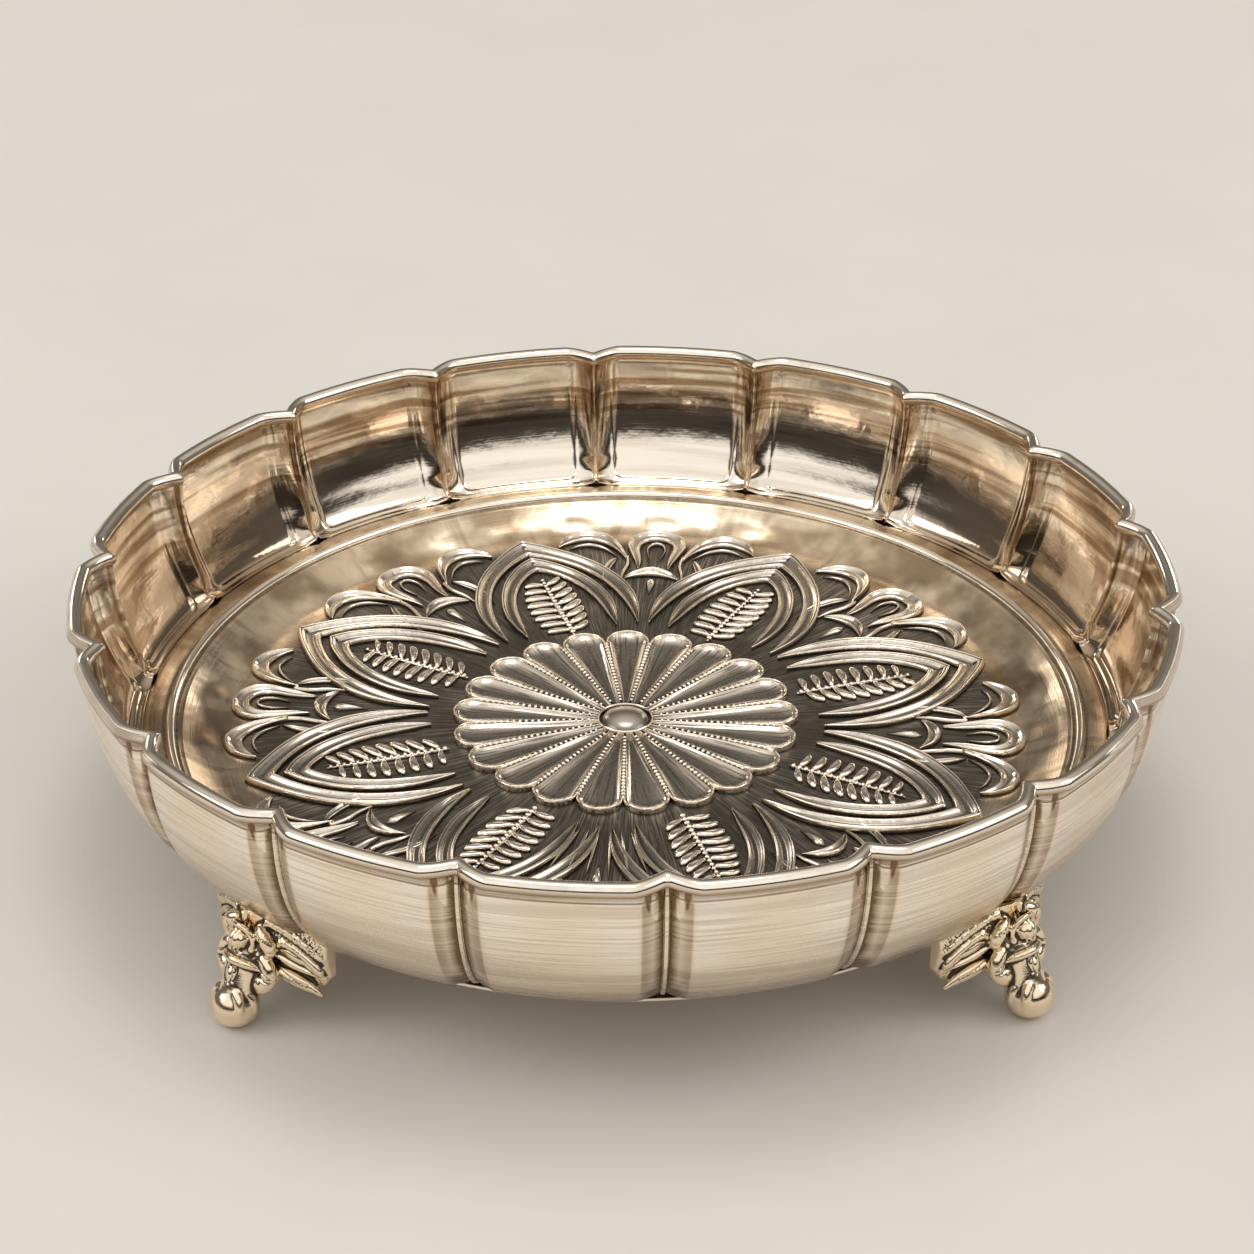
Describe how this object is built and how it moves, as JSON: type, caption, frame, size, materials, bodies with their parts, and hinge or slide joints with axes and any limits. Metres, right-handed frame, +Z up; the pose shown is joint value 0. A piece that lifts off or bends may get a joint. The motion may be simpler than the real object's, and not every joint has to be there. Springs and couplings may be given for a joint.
{
  "type": "footed lotus plate",
  "caption": "Round footed metal dish with a lobed upright wall, rolled rim and embossed lotus floor, standing on cast ball-toed scroll feet, for offerings.",
  "frame": {"origin": "on the table, under the centre of the dish", "axes": "+Z up along the dish's axis; the front pair of feet stands towards -Y, at 45 degrees either side"},
  "size_m": [0.2536, 0.2538, 0.061],
  "materials": {
    "satin_silver": "satin, brushed round the wall",
    "polished_silver": "polished",
    "embossed_silver": "polished relief over dark oxidised recesses",
    "cast_silver": "polished casting, dark in its recesses"
  },
  "bodies": {
    "root": {"fluted_wall": "satin_silver", "rim_moulding": "polished_silver", "floor_plate": "embossed_silver", "floor_ring": "polished_silver", "centre_boss": "polished_silver", "base_plate": "satin_silver", "foot_front_left": "cast_silver", "foot_front_right": "cast_silver", "foot_back_left": "cast_silver", "foot_back_right": "cast_silver"}
  },
  "joints": []
}
